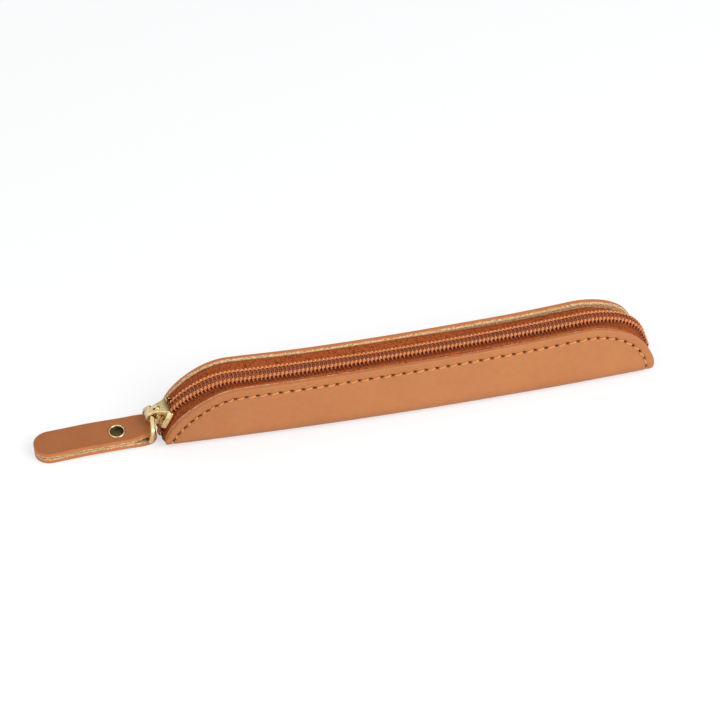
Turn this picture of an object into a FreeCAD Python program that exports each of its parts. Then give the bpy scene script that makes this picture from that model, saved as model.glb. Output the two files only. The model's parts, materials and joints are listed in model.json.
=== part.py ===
import FreeCAD, Part
import math
import os

import Sketcher
from FreeCAD import Placement, Rotation, Vector

# Fountain pen case: a leather piece folded along its bottom and closed by a zip over its top and ends.
# X runs along the case with the closed slider at -X, Y across it, Z up from the table.

DRIVING = {
    # Leather: side outline, fold and cross-sections at the left end, middle and right end
    "case_length": 180.0,
    "shoulder_height": 22.4,
    "middle_dip": 1.5,
    "corner_radius": 26.0,
    "right_foot_round": 3.0,
    "leather_thickness": 1.8,
    "fold_radius": 5.0,
    "base_trim": 0.1,
    "wall_reference_height": 22.0,
    "left_base_half": 3.4,
    "middle_base_half": 7.8,
    "right_base_half": 7.2,
    "left_mouth_half": 10.2,
    "middle_mouth_half": 8.6,
    "right_mouth_half": 9.9,
    # Zip: tapes, coils, cords and sewing
    "tape_depth": 1.6,
    "tape_thickness": 0.6,
    "tape_hem": 9.0,
    "sewn_gap": 0.05,
    "chain_gap": 1.2,
    "coil_width": 2.7,
    "coil_height": 2.2,
    "cord_diameter": 0.8,
    "cord_clearance": 0.05,
    "sewing_width": 0.5,
    "sewing_height": 0.3,
    "tack_length": 1.8,
    "tack_thickness": 0.6,
    "tack_angle": 16.0,
    # Saddle stitches
    "stitch_margin": 4.2,
    "stitch_pitch": 4.0,
    "stitch_length": 3.1,
    "thread_width": 0.7,
    "thread_height": 0.45,
    # Slider, arch and spring
    "slider_angle": 29.5,
    "slider_length": 8.6,
    "slider_half_width": 4.9,
    "tail_half_width": 4.1,
    "nose_half_width": 2.9,
    "plate_thickness": 1.1,
    "flange_thickness": 1.2,
    "wedge_half_width": 0.4,
    "running_clearance": 0.3,
    "arch_rise": 5.0,
    "arch_ramp": 4.6,
    "arch_width": 3.2,
    "arch_thickness": 1.0,
    "arch_tail": 3.9,
    "arch_nose": 4.0,
    "arch_bend": 2.4,
    "eye_from_tail": 5.65,
    "spring_length": 3.4,
    "spring_width": 2.0,
    "spring_thickness": 0.35,
    # Ring, tab and rivet; the ring hangs a little to the back of the middle
    "pull_shift": 1.0,
    "wire_diameter": 1.7,
    "ring_top_half": 2.8,
    "ring_bottom_half": 7.6,
    "ring_side": 3.2,
    "ring_bend_radius": 1.4,
    "tab_length": 39.2,
    "tab_width": 12.0,
    "tab_layer": 1.9,
    "tab_slit": 0.12,
    "tab_corner_radius": 4.2,
    "pin_clearance": 0.1,
    "table_gap": 0.05,
    "rivet_diameter": 5.8,
    "rivet_cap_height": 1.5,
    "rivet_bevel": 0.8,
    "rivet_post_diameter": 2.6,
    "rivet_offset": 10.8,
}

doc = FreeCAD.newDocument("pen_case")
sheet = doc.addObject("Spreadsheet::Sheet", "sheet")
for row, (name, value) in enumerate(DRIVING.items(), start=1):
    sheet.set(f"A{row}", name)
    sheet.set(f"B{row}", str(value))
    sheet.setAlias(f"B{row}", name)
doc.recompute()


def size(name):
    return float(getattr(sheet, name))


# Side outline: two corner arcs joined by a shallow sagging arc, all tangent

HALF_LENGTH = size("case_length") / 2
CORNER_X = HALF_LENGTH - size("corner_radius")
CORNER_Z = size("shoulder_height") - size("corner_radius")
REACH = 2 * size("middle_base_half") + 4 * size("fold_radius")
SECTION_TOP = size("shoulder_height") + size("fold_radius")

middle_height = size("shoulder_height") - size("middle_dip")
sag_rise = middle_height - CORNER_Z
SAG_RADIUS = (CORNER_X**2 + sag_rise**2 - size("corner_radius") ** 2) / (2 * size("middle_dip"))
SAG_Z = middle_height + SAG_RADIUS
SAG_HALF_ANGLE = math.atan2(CORNER_X, SAG_Z - CORNER_Z)


def corner_point(side, radius, angle):
    # side -1 is the left corner; the angle is measured up from the horizontal
    return Vector(side * (CORNER_X + radius * math.cos(angle)), 0, CORNER_Z + radius * math.sin(angle))


def angle_at_height(radius, height):
    return math.asin((height - CORNER_Z) / radius)


def outline_edges(depth, height):
    # The outline moved inwards by depth, from the left end up, over the top and down the right end
    radius = size("corner_radius") - depth
    foot = angle_at_height(radius, height)
    shoulder = math.pi / 2 + SAG_HALF_ANGLE
    middle = (foot + shoulder) / 2
    left = [corner_point(-1, radius, angle) for angle in (foot, middle, shoulder)]
    right = [corner_point(1, radius, angle) for angle in (shoulder, middle, foot)]
    sag = Vector(0, 0, SAG_Z - SAG_RADIUS - depth)
    arcs = [Part.Arc(*left), Part.Arc(left[2], sag, right[0]), Part.Arc(*right)]
    return [arc.toShape() for arc in arcs]


def ends(edges):
    return edges[0].firstVertex().Point, edges[-1].lastVertex().Point


def band(depth, thickness, height, y_low, y_high):
    # A strip that follows the outline between two depths
    outer = outline_edges(depth, height)
    inner = outline_edges(depth + thickness, height)
    outer_ends = ends(outer)
    inner_ends = ends(inner)
    closing = [Part.makeLine(inner_ends[0], outer_ends[0]), Part.makeLine(outer_ends[1], inner_ends[1])]
    wire = Part.Wire(Part.__sortEdges__(outer + inner + closing))
    face = Part.Face(wire)
    face.translate(Vector(0, y_low, 0))
    return face.extrude(Vector(0, y_high - y_low, 0))


def outline_prism(depth, height):
    # Everything within the outline moved inwards by depth and above a height
    edges = outline_edges(depth, height)
    first, last = ends(edges)
    face = Part.Face(Part.Wire(edges + [Part.makeLine(last, first)]))
    face.translate(Vector(0, -REACH, 0))
    return face.extrude(Vector(0, 2 * REACH, 0))


def point_along(distance, depth, height):
    # Point and slope of the outline at a distance from its left foot
    for edge in outline_edges(depth, height):
        if distance <= edge.Length:
            break
        distance -= edge.Length
    parameter = edge.getParameterByLength(min(distance, edge.Length))
    tangent = edge.tangentAt(parameter)
    return edge.valueAt(parameter), math.degrees(math.atan2(tangent.z, tangent.x))


# Cross-sections of the folded leather, lofted along X


def section_wire(x, base_half, mouth_half, inset):
    radius = size("fold_radius")
    rise = size("wall_reference_height") - radius
    reach = math.hypot(mouth_half - base_half, rise)
    normal = math.atan2(rise, mouth_half - base_half) - math.acos(radius / reach)
    bend = radius - inset
    foot = Vector(x, base_half, inset)
    middle_angle = (normal - math.pi / 2) / 2
    middle = Vector(x, base_half + bend * math.cos(middle_angle), radius + bend * math.sin(middle_angle))
    start = Vector(x, base_half + bend * math.cos(normal), radius + bend * math.sin(normal))
    climb = SECTION_TOP - radius
    top = Vector(x, base_half + (bend - climb * math.sin(normal)) / math.cos(normal), SECTION_TOP)

    def mirrored(point):
        return Vector(point.x, -point.y, point.z)

    edges = [
        Part.makeLine(mirrored(foot), foot),
        Part.Arc(foot, middle, start).toShape(),
        Part.makeLine(start, top),
        Part.makeLine(top, mirrored(top)),
        Part.makeLine(mirrored(top), mirrored(start)),
        Part.Arc(mirrored(start), mirrored(middle), mirrored(foot)).toShape(),
    ]
    return Part.Wire(edges)


def fold_solid(inset):
    # The body inside the leather's outer face moved inwards by inset
    stations = {"left": -HALF_LENGTH, "middle": 0.0, "right": HALF_LENGTH}
    wires = [section_wire(x, size(f"{end}_base_half"), size(f"{end}_mouth_half"), inset)
             for end, x in stations.items()]
    return Part.makeLoft(wires, True, False)


def half_space(y_low, y_high, height):
    return Part.makeBox(2 * HALF_LENGTH, y_high - y_low, 2 * SECTION_TOP,
                        Vector(-HALF_LENGTH, y_low, height))


def add_shape(name, shape):
    node = doc.addObject("Part::Feature", name)
    node.Label = name
    node.Shape = shape
    return node


# Leather shell, one folded piece; its underside is trimmed to a true plane and its right foot rounded

leather = size("leather_thickness")
leather_face = fold_solid(0)
leather_face.translate(Vector(0, 0, -size("base_trim")))
shell = leather_face.cut(fold_solid(leather)).common(outline_prism(0, 0))
round_foot = size("right_foot_round")
round_x = ends(outline_edges(0, 0))[1].x - round_foot
foot_corner = Part.makeBox(2 * round_foot, 2 * REACH, round_foot, Vector(round_x, -REACH, 0)).cut(
    Part.makeCylinder(round_foot, 2 * REACH, Vector(round_x, -REACH, round_foot), Vector(0, 1, 0)))
shell = shell.cut(foot_corner)
add_shape("leather_shell", shell.removeSplitter().Solids[0])

# Zip tapes: a strip beside the coil, turned down inside the panel as a sewn hem

tape_inset = leather + size("sewn_gap")
tape_floor = leather + size("sewn_gap")
tape_room = fold_solid(tape_inset)
hem_layer = tape_room.cut(fold_solid(tape_inset + size("tape_thickness")))
hem_ring = outline_prism(size("tape_depth"), tape_floor).cut(
    outline_prism(size("tape_depth") + size("tape_hem"), tape_floor))
hem = hem_layer.common(hem_ring).common(half_space(-REACH, REACH, size("fold_radius")))
chain_half_gap = size("chain_gap") / 2
sides = {"front": (-REACH, -chain_half_gap), "back": (chain_half_gap, REACH)}
for side, (y_low, y_high) in sides.items():
    strip = band(size("tape_depth"), size("tape_thickness"), tape_floor, y_low, y_high).common(tape_room)
    side_hem = hem.common(half_space(y_low, y_high, tape_floor))
    add_shape(f"zip_tape_{side}", strip.fuse(side_hem).removeSplitter().Solids[0])

# Coils with their filler cords and the rows of thread that hold them

coil_top = size("tape_depth") - size("coil_height")
cord_depth = coil_top + size("coil_height") / 2
cord_y = chain_half_gap + size("coil_width") / 2
coil_foot = tape_floor + size("sewing_width")


def cord_pipe(radius, y):
    edges = outline_edges(cord_depth, coil_foot)
    path = Part.Wire(edges)
    start = ends(edges)[0]
    circle = Part.Wire(Part.makeCircle(radius, start, edges[0].tangentAt(edges[0].FirstParameter)))
    pipe = path.makePipeShell([circle], True, False)
    pipe.translate(Vector(0, y, 0))
    return pipe


for side, sign in {"front": -1, "back": 1}.items():
    faces = sorted([sign * chain_half_gap, sign * (chain_half_gap + size("coil_width"))])
    solid_coil = band(coil_top, size("coil_height"), coil_foot, *faces)
    cord_radius = size("cord_diameter") / 2
    bore = cord_pipe(cord_radius + size("cord_clearance"), sign * cord_y)
    add_shape(f"zip_coil_{side}", solid_coil.cut(bore).Solids[0])
    add_shape(f"coil_cord_{side}", cord_pipe(cord_radius, sign * cord_y))
    rows = []
    for row in (-1, 1):
        row_y = sign * cord_y + row * size("coil_width") / 4
        low = row_y - size("sewing_width") / 2
        rows.append(band(coil_top - size("sewing_height"), size("sewing_height"), coil_foot,
                         low, low + size("sewing_width")))
    add_shape(f"coil_sewing_{side}", Part.makeCompound(rows))

# Tack across both coils at the right end

tack_radius = size("corner_radius") - coil_top + size("sewing_height")
tack_half = chain_half_gap + size("coil_width")
tack_ring = Part.makeCylinder(tack_radius + size("tack_thickness"), 2 * tack_half,
                              Vector(CORNER_X, -tack_half, CORNER_Z), Vector(0, 1, 0)).cut(
    Part.makeCylinder(tack_radius, 2 * tack_half, Vector(CORNER_X, -tack_half, CORNER_Z), Vector(0, 1, 0)))
tack_block = Part.makeBox(2 * tack_radius, 2 * tack_half, size("tack_length"),
                          Vector(0, -tack_half, -size("tack_length") / 2))
tack_block.Placement = Placement(Vector(CORNER_X, 0, CORNER_Z),
                                 Rotation(Vector(0, 1, 0), -size("tack_angle"))) * tack_block.Placement
add_shape("zip_end_tack", tack_ring.common(tack_block).Solids[0])

# Saddle stitches on the outside of both panels

stitch_foot = size("fold_radius") / 2
thread_layer = fold_solid(-size("thread_height")).cut(leather_face)
run_length = sum(edge.Length for edge in outline_edges(size("stitch_margin"), stitch_foot))
stitch_count = int(run_length / size("stitch_pitch"))
first_stitch = (run_length - (stitch_count - 1) * size("stitch_pitch")) / 2
slots = []
for index in range(stitch_count):
    place, slope = point_along(first_stitch + index * size("stitch_pitch"), size("stitch_margin"), stitch_foot)
    slot = Part.makeBox(size("stitch_length"), 2 * REACH, size("thread_width"),
                        Vector(-size("stitch_length") / 2, -REACH, -size("thread_width") / 2))
    slot.Placement = Placement(place, Rotation(Vector(0, 1, 0), -slope)) * slot.Placement
    slots.append(slot)
stitches = thread_layer.common(Part.makeCompound(slots)).Solids
for side, sign in {"front": -1, "back": 1}.items():
    own = [stitch for stitch in stitches if sign * stitch.CenterOfMass.y > 0]
    add_shape(f"seam_thread_{side}", Part.makeCompound(own))


# Sketches whose corners are tied to the sheet, two expressions for each corner


def polygon_sketch(body, role, name, corners):
    sketch = body.newObject("Sketcher::SketchObject", name)
    plane = next(item for item in body.Origin.OriginFeatures if item.Role == role)
    sketch.AttachmentSupport = [(plane, "")]
    sketch.MapMode = "FlatFace"
    doc.recompute()
    values = [[sketch.evalExpression(text) for text in corner] for corner in corners]
    points = [Vector(float(u), float(v), 0) for u, v in values]
    count = len(points)
    for index in range(count):
        sketch.addGeometry(Part.LineSegment(points[index], points[(index + 1) % count]), False)
    for index in range(count):
        sketch.addConstraint(Sketcher.Constraint("Coincident", index, 2, (index + 1) % count, 1))
    for index, corner in enumerate(corners):
        for kind, text, value, axis in zip(("DistanceX", "DistanceY"), corner, points[index], (-2, -1)):
            if abs(value) < 1e-9:
                sketch.addConstraint(Sketcher.Constraint("PointOnObject", index, 1, axis))
                continue
            place = sketch.addConstraint(Sketcher.Constraint(kind, -1, 1, index, 1, value))
            sketch.setExpression(f"Constraints[{place}]", text)
    return sketch


def new_body(name):
    body = doc.addObject("PartDesign::Body", name)
    body.Label = name
    return body


# Slider body: its section turned about the corner's centre, then cut to its plan

SLIDER_PLACE = Placement(Vector(-CORNER_X, 0, CORNER_Z), Rotation(Vector(0, 1, 0), size("slider_angle")))
plate_inside = ("(sheet.corner_radius - sheet.tape_depth + sheet.coil_height + sheet.sewing_height"
                " + sheet.running_clearance)")
plate_outside = f"({plate_inside} + sheet.plate_thickness)"
flange_end = "(sheet.corner_radius - sheet.tape_depth + sheet.running_clearance)"
sole_outside = ("(sheet.corner_radius - sheet.tape_depth - sheet.tape_thickness"
                " - sheet.running_clearance)")
sole_inside = f"({sole_outside} - sheet.plate_thickness)"
half_width = "sheet.slider_half_width"
flange_face = "(sheet.slider_half_width - sheet.flange_thickness)"
wedge = "sheet.wedge_half_width"
half_section = [
    (sole_inside, half_width), (sole_outside, half_width), (sole_outside, wedge), (plate_inside, wedge),
    (plate_inside, flange_face), (flange_end, flange_face), (flange_end, half_width),
    (plate_outside, half_width),
]
section = [(f"-{radius}", across) for radius, across in half_section]
section += [(f"-{radius}", f"-{across}") for radius, across in reversed(half_section)]

slider = new_body("slider_body")
section_sketch = polygon_sketch(slider, "XY_Plane", "slider_section", section)
turn = slider.newObject("PartDesign::Revolution", "slider_turn")
turn.Profile = section_sketch
turn.ReferenceAxis = (section_sketch, ["V_Axis"])
turn.Midplane = True
turn.setExpression("Angle", "sheet.slider_length / sheet.corner_radius * 180 / pi")
doc.recompute()
turned_volume = turn.Shape.Volume

beyond = "sheet.slider_length"
tail = "(sheet.slider_length / 2 + sheet.plate_thickness)"
corner = "(sheet.slider_length / 4)"
tail_half = "sheet.tail_half_width"
for name, sign in (("slider_right_side", ""), ("slider_left_side", "-")):
    waist = [(f"{sign}{half_width}", f"{corner}"), (f"{sign}{tail_half}", tail),
             (f"{sign}{beyond}", tail), (f"{sign}{beyond}", f"{corner}")]
    nose = [(f"{sign}{half_width}", f"-{corner}"), (f"{sign}{beyond}", f"-{corner}"),
            (f"{sign}{beyond}", f"-{tail}"), (f"{sign}sheet.nose_half_width", f"-{tail}")]
    for part_name, corners in ((f"{name}_tail", waist), (f"{name}_nose", nose)):
        sketch = polygon_sketch(slider, "YZ_Plane", f"{part_name}_sketch", corners)
        trim = slider.newObject("PartDesign::Pocket", part_name)
        trim.Profile = sketch
        trim.Type = "ThroughAll"
        trim.Midplane = True
        doc.recompute()
slider.Placement = SLIDER_PLACE
doc.recompute()
assert slider.Shape.Volume < 0.99 * turned_volume, "the slider's plan was not cut"

# Arch on the slider, a bent strap drawn in the slider's own frame

plate_top = (size("corner_radius") - size("tape_depth") + size("coil_height") + size("sewing_height")
             + size("running_clearance") + size("plate_thickness"))
strap = size("arch_thickness")


def arch_edges(inset):
    # Side view: a ramp up from the tail, a short crown and a bend down at the nose
    rise = size("arch_rise") - inset
    slope = size("arch_rise") / size("arch_ramp")
    tail = size("arch_tail") - inset * math.hypot(1, slope) / slope
    nose = -size("arch_nose") + inset
    bend = size("arch_bend") - inset
    slant = bend * (1 - math.sqrt(0.5))

    def point(height, along):
        return Vector(-(plate_top + height), 0, along)

    foot, brow = point(-strap, tail + strap / slope), point(rise, tail - rise / slope)
    crown, knee = point(rise, nose + bend), point(rise - bend, nose)
    return [
        Part.makeLine(foot, brow),
        Part.makeLine(brow, crown),
        Part.Arc(crown, point(rise - slant, nose + slant), knee).toShape(),
        Part.makeLine(knee, point(-strap, nose)),
    ]


outer_arch = arch_edges(0)
inner_arch = arch_edges(strap)
soles = [Part.makeLine(outer_end, inner_end)
         for outer_end, inner_end in zip(ends(outer_arch), ends(inner_arch))]
arch_face = Part.Face(Part.Wire(Part.__sortEdges__(outer_arch + inner_arch + soles)))
arch_face.translate(Vector(0, -size("arch_width") / 2, 0))
arch = arch_face.extrude(Vector(0, size("arch_width"), 0))
plate_core = Part.makeCylinder(plate_top, 2 * REACH, Vector(0, -REACH, 0), Vector(0, 1, 0))
cap = add_shape("slider_cap", arch.cut(plate_core).Solids[0])
cap.Placement = SLIDER_PLACE

# Lock spring: a leaf lying on the top plate under the arch

spring = doc.addObject("Part::Box", "lock_spring")
spring.Label = "lock_spring"
spring.setExpression("Length", "sheet.spring_thickness")
spring.setExpression("Width", "sheet.spring_width")
spring.setExpression("Height", "sheet.spring_length")
spring_seat = Vector(-(plate_top + size("spring_thickness")), -size("spring_width") / 2,
                     -size("spring_length") / 2)
spring.Placement = SLIDER_PLACE * Placement(spring_seat, Rotation())

# Pull ring: a closed wire loop through the arch and the fold of the tab

wire_radius = size("wire_diameter") / 2
fold_inside = wire_radius + size("pin_clearance")
fold_outside = fold_inside + size("tab_layer")
eye_height = size("arch_rise") - strap - wire_radius - size("pin_clearance")
eye = SLIDER_PLACE.multVec(Vector(-(plate_top + eye_height), 0, size("arch_tail") - size("eye_from_tail")))
chain_reach = HALF_LENGTH - coil_top + size("sewing_height")
ring_bar = Vector(-chain_reach - fold_outside - size("running_clearance"), 0,
                  fold_outside + size("table_gap"))


def rounded_loop(corners, radius):
    # Straight runs joined by tangent arcs of one radius
    edges = []
    count = len(corners)
    joints = []
    for index in range(count):
        here = corners[index]
        before = (corners[index - 1] - here).normalize()
        after = (corners[(index + 1) % count] - here).normalize()
        half = before.getAngle(after) / 2
        cut = radius / math.tan(half)
        centre = here + (before + after).normalize() * (radius / math.sin(half))
        nearest = centre + (here - centre).normalize() * radius
        joints.append((here + before * cut, nearest, here + after * cut))
    for index, (entry, nearest, leave) in enumerate(joints):
        edges.append(Part.Arc(entry, nearest, leave).toShape())
        edges.append(Part.makeLine(leave, joints[(index + 1) % count][0]))
    return Part.Wire(edges)


across = Vector(0, 1, 0)
pull_y = size("pull_shift")
knee = ring_bar + (eye - ring_bar).normalize() * size("ring_side")
half_ring = [(eye, "ring_top_half"), (knee, "ring_bottom_half"), (ring_bar, "ring_bottom_half")]
right_half = [point + across * (pull_y + size(half)) for point, half in half_ring]
left_half = [point + across * (pull_y - size(half)) for point, half in reversed(half_ring)]
ring_path = rounded_loop(right_half + left_half, size("ring_bend_radius"))
first_run = ring_path.OrderedEdges[0]
ring_circle = Part.Wire(Part.makeCircle(wire_radius, first_run.valueAt(first_run.FirstParameter),
                                        first_run.tangentAt(first_run.FirstParameter)))
add_shape("pull_ring", ring_path.makePipeShell([ring_circle], True, False))

# Pull tab: one strip folded round the ring's lower bar, both layers lying flat to the left

tab_thickness = "(2 * sheet.tab_layer + sheet.tab_slit)"
tab_slab = doc.addObject("Part::Box", "tab_slab")
tab_slab.setExpression("Length", "sheet.tab_length")
tab_slab.setExpression("Width", "sheet.tab_width")
tab_slab.setExpression("Height", tab_thickness)
slab_low = ring_bar.z - size("tab_layer") - size("tab_slit") / 2
tab_corner = Vector(ring_bar.x - size("tab_length"), pull_y - size("tab_width") / 2, slab_low)
tab_slab.Placement = Placement(tab_corner, Rotation())
doc.recompute()
upright = [index for index, edge in enumerate(tab_slab.Shape.Edges, start=1)
           if abs(edge.tangentAt(edge.FirstParameter).z) > 0.9 and edge.CenterOfMass.x < ring_bar.x - fold_outside]
tab_round = doc.addObject("Part::Fillet", "tab_round")
tab_round.Base = tab_slab
tab_round.Edges = [(index, size("tab_corner_radius"), size("tab_corner_radius")) for index in upright]


def tab_cylinder(name, radius_text):
    cylinder = doc.addObject("Part::Cylinder", name)
    cylinder.setExpression("Radius", radius_text)
    cylinder.setExpression("Height", "sheet.tab_width")
    edge = ring_bar + across * (pull_y - size("tab_width") / 2)
    cylinder.Placement = Placement(edge, Rotation(Vector(1, 0, 0), -90))
    return cylinder


bore_text = "sheet.wire_diameter / 2 + sheet.pin_clearance"
tab_loop = tab_cylinder("tab_loop", f"{bore_text} + sheet.tab_layer")
tab_bore = tab_cylinder("tab_bore", bore_text)
tab_slit = doc.addObject("Part::Box", "tab_slit")
tab_slit.setExpression("Length", "sheet.tab_length")
tab_slit.setExpression("Width", "sheet.tab_width")
tab_slit.setExpression("Height", "sheet.tab_slit")
tab_slit.Placement = Placement(tab_corner + Vector(0, 0, size("tab_layer")), Rotation())
rivet_hole = doc.addObject("Part::Cylinder", "rivet_hole")
rivet_hole.setExpression("Radius", "sheet.rivet_post_diameter / 2 + sheet.pin_clearance / 2")
rivet_hole.setExpression("Height", "4 * sheet.tab_layer")
rivet_x = ring_bar.x - size("rivet_offset")
rivet_hole.Placement = Placement(Vector(rivet_x, pull_y, slab_low - size("tab_layer")), Rotation())
tab_whole = doc.addObject("Part::MultiFuse", "tab_whole")
tab_whole.Shapes = [tab_round, tab_loop]
tab_voids = doc.addObject("Part::MultiFuse", "tab_voids")
tab_voids.Shapes = [tab_bore, tab_slit, rivet_hole]
tab = doc.addObject("Part::Cut", "pull_tab")
tab.Label = "pull_tab"
tab.Base = tab_whole
tab.Tool = tab_voids

# Rivet: a bevelled cap on the tab, and a post with its plate under the tab

plate_text = f"{bore_text} + sheet.tab_layer - {tab_thickness} / 2"
slab_top = slab_low + 2 * size("tab_layer") + size("tab_slit")
cap_radius = "sheet.rivet_diameter / 2"
cap_body = new_body("rivet_cap")
cap_profile = polygon_sketch(cap_body, "XZ_Plane", "cap_profile", [
    ("0", "0"), (cap_radius, "0"), (cap_radius, "sheet.rivet_cap_height - sheet.rivet_bevel"),
    (f"{cap_radius} - sheet.rivet_bevel", "sheet.rivet_cap_height"), ("0", "sheet.rivet_cap_height")])
post_body = new_body("rivet_post")
post_radius = "sheet.rivet_post_diameter / 2"
post_height = f"{tab_thickness} + {plate_text}"
post_profile = polygon_sketch(post_body, "XZ_Plane", "post_profile", [
    ("0", "0"), (cap_radius, "0"), (cap_radius, plate_text), (post_radius, plate_text),
    (post_radius, post_height), ("0", post_height)])
for body, profile in ((cap_body, cap_profile), (post_body, post_profile)):
    spin = body.newObject("PartDesign::Revolution", f"{body.Name}_turn")
    spin.Profile = profile
    spin.ReferenceAxis = (profile, ["V_Axis"])
    spin.Angle = 360
cap_body.Placement = Placement(Vector(rivet_x, pull_y, slab_top), Rotation())
post_body.Placement = Placement(Vector(rivet_x, pull_y, size("table_gap")), Rotation())

# Checks, then one file for each sub-part

NODES = ["leather_shell", "zip_end_tack", "slider_body", "slider_cap", "lock_spring",
         "pull_ring", "pull_tab", "rivet_cap", "rivet_post"]
for piece in ("zip_tape", "zip_coil", "coil_cord", "coil_sewing", "seam_thread"):
    NODES += [f"{piece}_front", f"{piece}_back"]

doc.recompute()
for item in doc.Objects:
    if "Invalid" in item.State or "Error" in item.State:
        raise RuntimeError(f"{item.Name} failed: {item.State}")
os.makedirs("parts", exist_ok=True)
for label in NODES:
    shape = doc.getObjectsByLabel(label)[0].Shape
    if shape.isNull() or not shape.isValid():
        raise RuntimeError(f"{label} has no valid shape")
    shape.exportStep(f"parts/{label}.step")
    box = shape.BoundBox
    print(f"{label}: {len(shape.Solids)} solids, {shape.Volume:.1f} mm3, "
          f"x {box.XMin:.1f} {box.XMax:.1f} y {box.YMin:.1f} {box.YMax:.1f} z {box.ZMin:.1f} {box.ZMax:.1f}")
print("slider hinge", -CORNER_X, CORNER_Z, "ring hinge", eye.x, eye.z, "tab hinge", ring_bar.x, ring_bar.z)
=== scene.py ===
import json
import math

import bpy
import numpy as np
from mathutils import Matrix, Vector


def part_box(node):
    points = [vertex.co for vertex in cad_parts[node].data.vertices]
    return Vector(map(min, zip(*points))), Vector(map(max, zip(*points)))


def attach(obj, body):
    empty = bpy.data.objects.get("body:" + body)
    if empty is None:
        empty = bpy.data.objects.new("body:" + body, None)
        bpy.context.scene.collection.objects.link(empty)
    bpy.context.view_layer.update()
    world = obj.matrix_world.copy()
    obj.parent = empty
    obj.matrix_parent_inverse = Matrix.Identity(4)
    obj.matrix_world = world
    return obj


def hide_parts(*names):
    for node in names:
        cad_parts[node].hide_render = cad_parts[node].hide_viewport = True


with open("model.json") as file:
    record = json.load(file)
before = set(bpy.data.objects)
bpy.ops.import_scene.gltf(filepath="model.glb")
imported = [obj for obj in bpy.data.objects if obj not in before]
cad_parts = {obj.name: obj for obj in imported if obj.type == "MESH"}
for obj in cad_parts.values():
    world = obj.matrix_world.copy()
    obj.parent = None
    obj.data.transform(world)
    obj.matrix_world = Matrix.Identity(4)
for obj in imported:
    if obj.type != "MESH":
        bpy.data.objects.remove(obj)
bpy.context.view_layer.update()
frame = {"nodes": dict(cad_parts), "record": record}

# Leather shell. One piece of smooth tan cowhide, folded along its bottom so that both panels stand up.
# Its rounded edge is left raw: dyed tan on the grain side, pale and fibrous on the flesh side.

joint_places = {joint["name"]: joint["pos_m"] for joint in frame["record"]["behaviour"]["joints"]}
corner_x = -joint_places["slider_run"][0]
corner_z = joint_places["slider_run"][2]
shell_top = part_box("leather_shell")[1][2]
corner_radius = shell_top - corner_z
half_length = corner_x + corner_radius
middle_sag = 0.0015
leather = 0.0022
fold_radius = 0.005
wall_height = 0.022
base_halves = (0.0034, 0.0078, 0.0072)
mouth_halves = (0.0107, 0.0086, 0.0099)
left_slimness = 0.0009
left_slim_spread = 0.011
left_slim_angle = math.radians(58)
right_fullness = 0.0015
right_full_spread = 0.013
right_full_angle = math.radians(38)
foot_tucks = ((-1, 0.0022, 0.0060), (1, 0.0046, 0.0080))
tuck_reach = 0.012

sag_rise = shell_top - middle_sag - corner_z
sag_radius = (corner_x**2 + sag_rise**2 - corner_radius**2) / (2 * middle_sag)
sag_z = shell_top - middle_sag + sag_radius
sag_half = math.atan2(corner_x, sag_z - corner_z)
foot_angle = math.asin(-corner_z / corner_radius)
corner_run = corner_radius * (math.pi / 2 + sag_half - foot_angle)
top_run = 2 * sag_radius * sag_half
rim_run = 2 * corner_run + top_run


def fuller(run):
    # Seen from the side, the right corner is cut fuller than a plain arc and the left one slimmer
    left = run - corner_radius * (left_slim_angle - foot_angle)
    right = rim_run - run - corner_radius * (right_full_angle - foot_angle)
    return (right_fullness * np.exp(-((right / right_full_spread) ** 2))
            - left_slimness * np.exp(-((left / left_slim_spread) ** 2)))


def rim(run, depth=0.0):
    # Points along the cut edge, from the left foot over the top to the right foot, moved inwards by depth
    run = np.asarray(run, float)
    depth = depth - fuller(run)
    left = foot_angle + run / corner_radius
    right = foot_angle + (rim_run - run) / corner_radius
    sag = (run - corner_run - top_run / 2) / sag_radius
    on_left = run < corner_run
    on_right = run > corner_run + top_run
    out_x = np.where(on_left, -np.cos(left), np.where(on_right, np.cos(right), -np.sin(sag)))
    out_z = np.where(on_left, np.sin(left), np.where(on_right, np.sin(right), np.cos(sag)))
    centre_x = np.where(on_left, -corner_x, np.where(on_right, corner_x, 0.0))
    centre_z = np.where(on_left | on_right, corner_z, sag_z)
    reach = np.where(on_left | on_right, corner_radius, -sag_radius)
    return centre_x + (reach - depth) * out_x, centre_z + (reach - depth) * out_z, out_x, out_z


def edge_depth(x, z):
    # How far inside the cut edge a point lies, seen from the side
    corner = corner_radius - np.hypot(np.abs(x) - corner_x, z - corner_z)
    from_foot = corner_radius * (np.arctan2(z - corner_z, np.abs(x) - corner_x) - foot_angle)
    corner = corner + fuller(np.where(x > 0, rim_run - from_foot, from_foot))
    top = np.hypot(x, z - sag_z) - sag_radius
    return np.where(np.abs(x) > corner_x - corner_radius * math.sin(sag_half), corner, top)


def between_ends(x, values):
    # Smooth curve through the left, middle and right value
    place = x / half_length
    bend = (values[0] + values[2]) / 2 - values[1]
    return values[1] + (values[2] - values[0]) / 2 * place + bend * place**2


def section_angle(x):
    # Direction of the wall's outward normal, up from the horizontal
    base = between_ends(x, base_halves)
    lean = between_ends(x, mouth_halves) - base
    rise = wall_height - fold_radius
    return base, np.arctan2(rise, lean) - np.arccos(fold_radius / np.hypot(rise, lean))


def girth_at(x, z):
    # Length of leather from the middle of the base up to a height
    base, angle = section_angle(x)
    wall_foot = fold_radius * (1 + np.sin(angle))
    bend = np.arcsin(np.clip((z - fold_radius) / fold_radius, -1, 1))
    on_bend = base + fold_radius * (bend + math.pi / 2)
    on_wall = base + fold_radius * (angle + math.pi / 2) + (z - wall_foot) / np.cos(angle)
    return np.where(z < wall_foot, on_bend, on_wall)


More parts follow.
